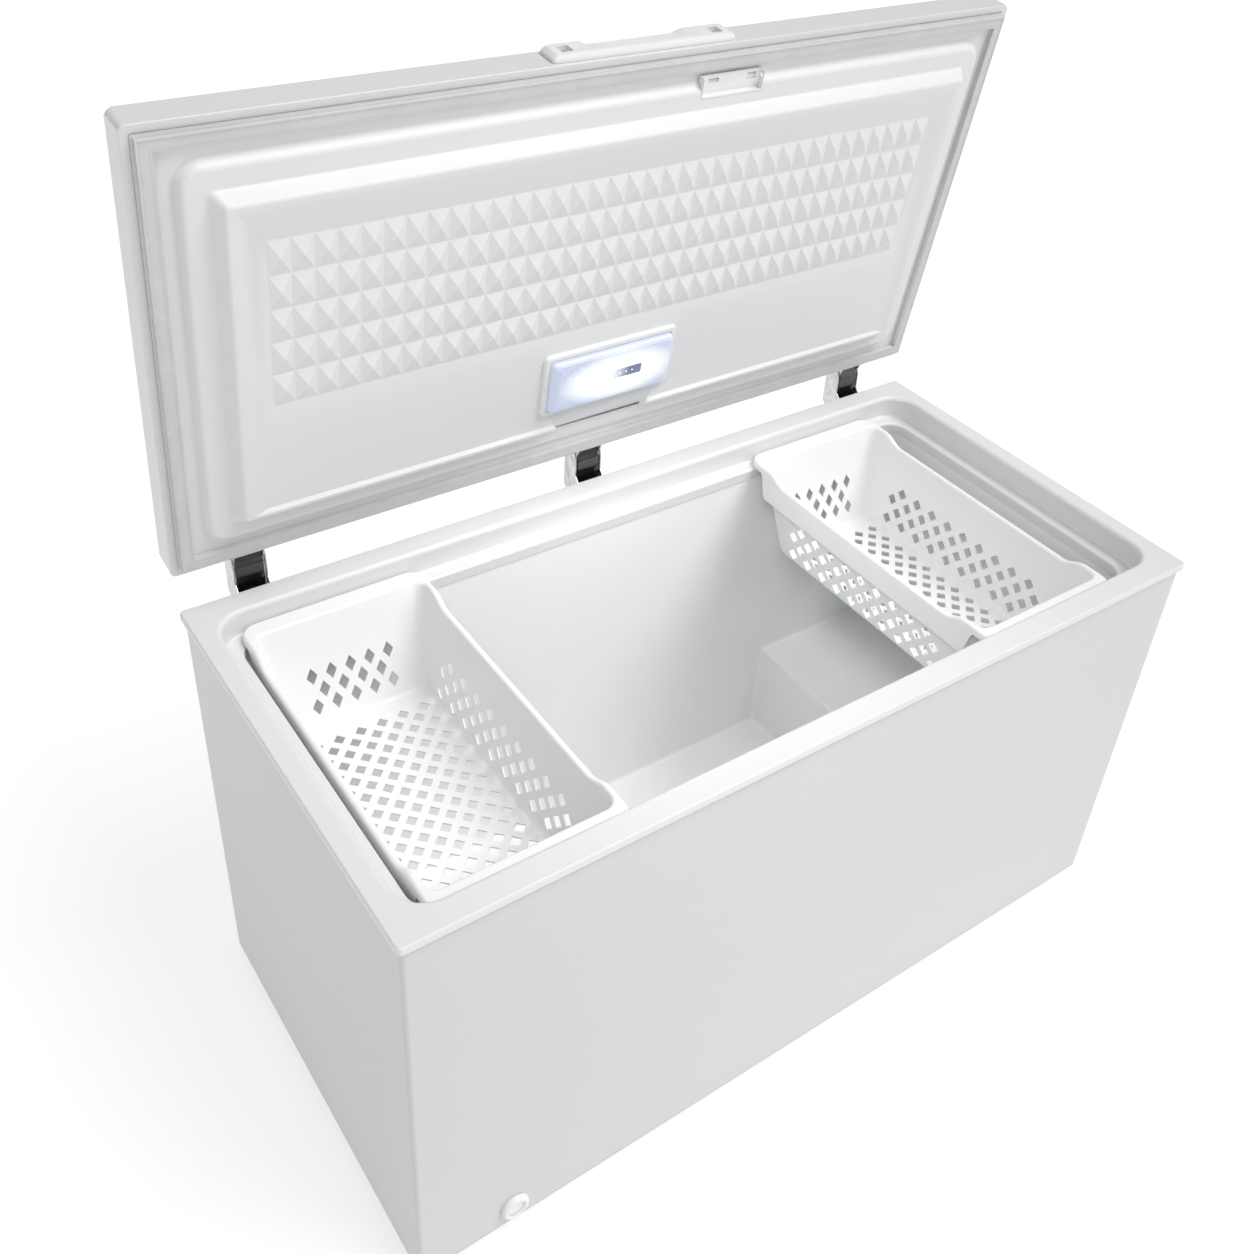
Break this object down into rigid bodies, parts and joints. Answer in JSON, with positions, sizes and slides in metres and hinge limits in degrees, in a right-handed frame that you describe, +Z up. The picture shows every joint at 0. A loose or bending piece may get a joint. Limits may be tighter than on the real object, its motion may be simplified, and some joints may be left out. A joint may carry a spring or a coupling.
{
  "type": "chest freezer",
  "caption": "Wide white chest freezer: insulated cabinet with a moulded collar, hanging baskets inside and a lamp-lit, spring-hinged lid standing open.",
  "frame": {"origin": "centre of the underside of the bounding box with the lid open, on the floor", "axes": "+X to the right seen from the front, +Y towards the back, +Z up; the front faces -Y"},
  "size_m": [1.4, 0.7396, 1.4854],
  "materials": {
    "white_paint": "satin",
    "white_plastic": "satin",
    "liner_metal": "satin",
    "gasket_rubber": "matte",
    "foam": "matte",
    "black_paint": "satin",
    "black_gloss": "gloss",
    "steel": "satin",
    "copper": "satin",
    "dark_rubber": "matte",
    "lens": "gloss",
    "board": "satin"
  },
  "bodies": {
    "cabinet": {"outer_wrap": "white_paint", "rear_panel": "white_paint", "hinge_bracket_left": "white_paint", "hinge_bracket_centre": "white_paint", "hinge_bracket_right": "white_paint", "collar": "white_plastic", "side_grille": "white_plastic", "drain_tube": "white_plastic", "inner_liner": "liner_metal", "cabinet_foam": "foam", "base_pan": "black_paint", "compressor": "black_paint", "hinge_cover_left": "black_gloss", "hinge_cover_centre": "black_gloss", "hinge_cover_right": "black_gloss", "evaporator_coil": "steel", "compressor_plate": "steel", "thermostat": "steel", "hinge_pin_left": "steel", "hinge_pin_centre": "steel", "hinge_pin_right": "steel", "hinge_spring_left": "steel", "hinge_spring_centre": "steel", "hinge_spring_right": "steel", "condenser_coil": "copper", "filter_dryer": "copper", "foot_front_left": "dark_rubber", "foot_front_right": "dark_rubber", "foot_rear_left": "dark_rubber", "foot_rear_right": "dark_rubber", "grommet_front_left": "dark_rubber", "grommet_front_right": "dark_rubber", "grommet_rear_left": "dark_rubber", "grommet_rear_right": "dark_rubber", "start_relay": "dark_rubber", "cord_gland": "dark_rubber", "power_light": "lens"},
    "lid": {"lid_skin": "white_paint", "lid_foam": "foam", "lid_inner_panel": "white_plastic", "lid_gasket": "gasket_rubber", "handle": "white_plastic", "handle_screw_left": "steel", "handle_screw_right": "steel", "latch_pocket": "white_plastic", "lamp_housing": "white_plastic", "lamp_lens": "lens", "led_board": "board", "tilt_switch": "steel", "hinge_leaf_left": "white_paint", "hinge_leaf_centre": "white_paint", "hinge_leaf_right": "white_paint"},
    "basket_left": {"basket_left": "white_plastic"},
    "basket_right": {"basket_right": "white_plastic"},
    "knob": {"thermostat_knob": "white_plastic"},
    "drain_cap": {"drain_cap": "white_plastic"},
    "drain_plug": {"drain_plug": "white_plastic"}
  },
  "joints": [
    {"name": "lid_hinge", "type": "hinge", "parent": "cabinet", "child": "lid", "pos_m": [0, 0.34623, 0.7706], "axis": [1, 0, 0], "range_deg": [0, 82], "stiffness_Nm_per_rad": 31, "springref_deg": -13.18},
    {"name": "basket_left_slide", "type": "slide", "parent": "cabinet", "child": "basket_left", "axis": [1, 0, 0], "range_m": [0, 0.3]},
    {"name": "basket_right_slide", "type": "slide", "parent": "cabinet", "child": "basket_right", "axis": [-1, 0, 0], "range_m": [0, 0.3]},
    {"name": "thermostat_knob_turn", "type": "hinge", "parent": "cabinet", "child": "knob", "pos_m": [0.69, 0.07123, 0.1223], "axis": [1, 0, 0], "range_deg": [0, 270]},
    {"name": "drain_cap_pull", "type": "slide", "parent": "cabinet", "child": "drain_cap", "axis": [0, -1, 0], "range_m": [0, 0.03]},
    {"name": "drain_plug_lift", "type": "slide", "parent": "cabinet", "child": "drain_plug", "axis": [0, 0, 1], "range_m": [0, 0.05]}
  ]
}
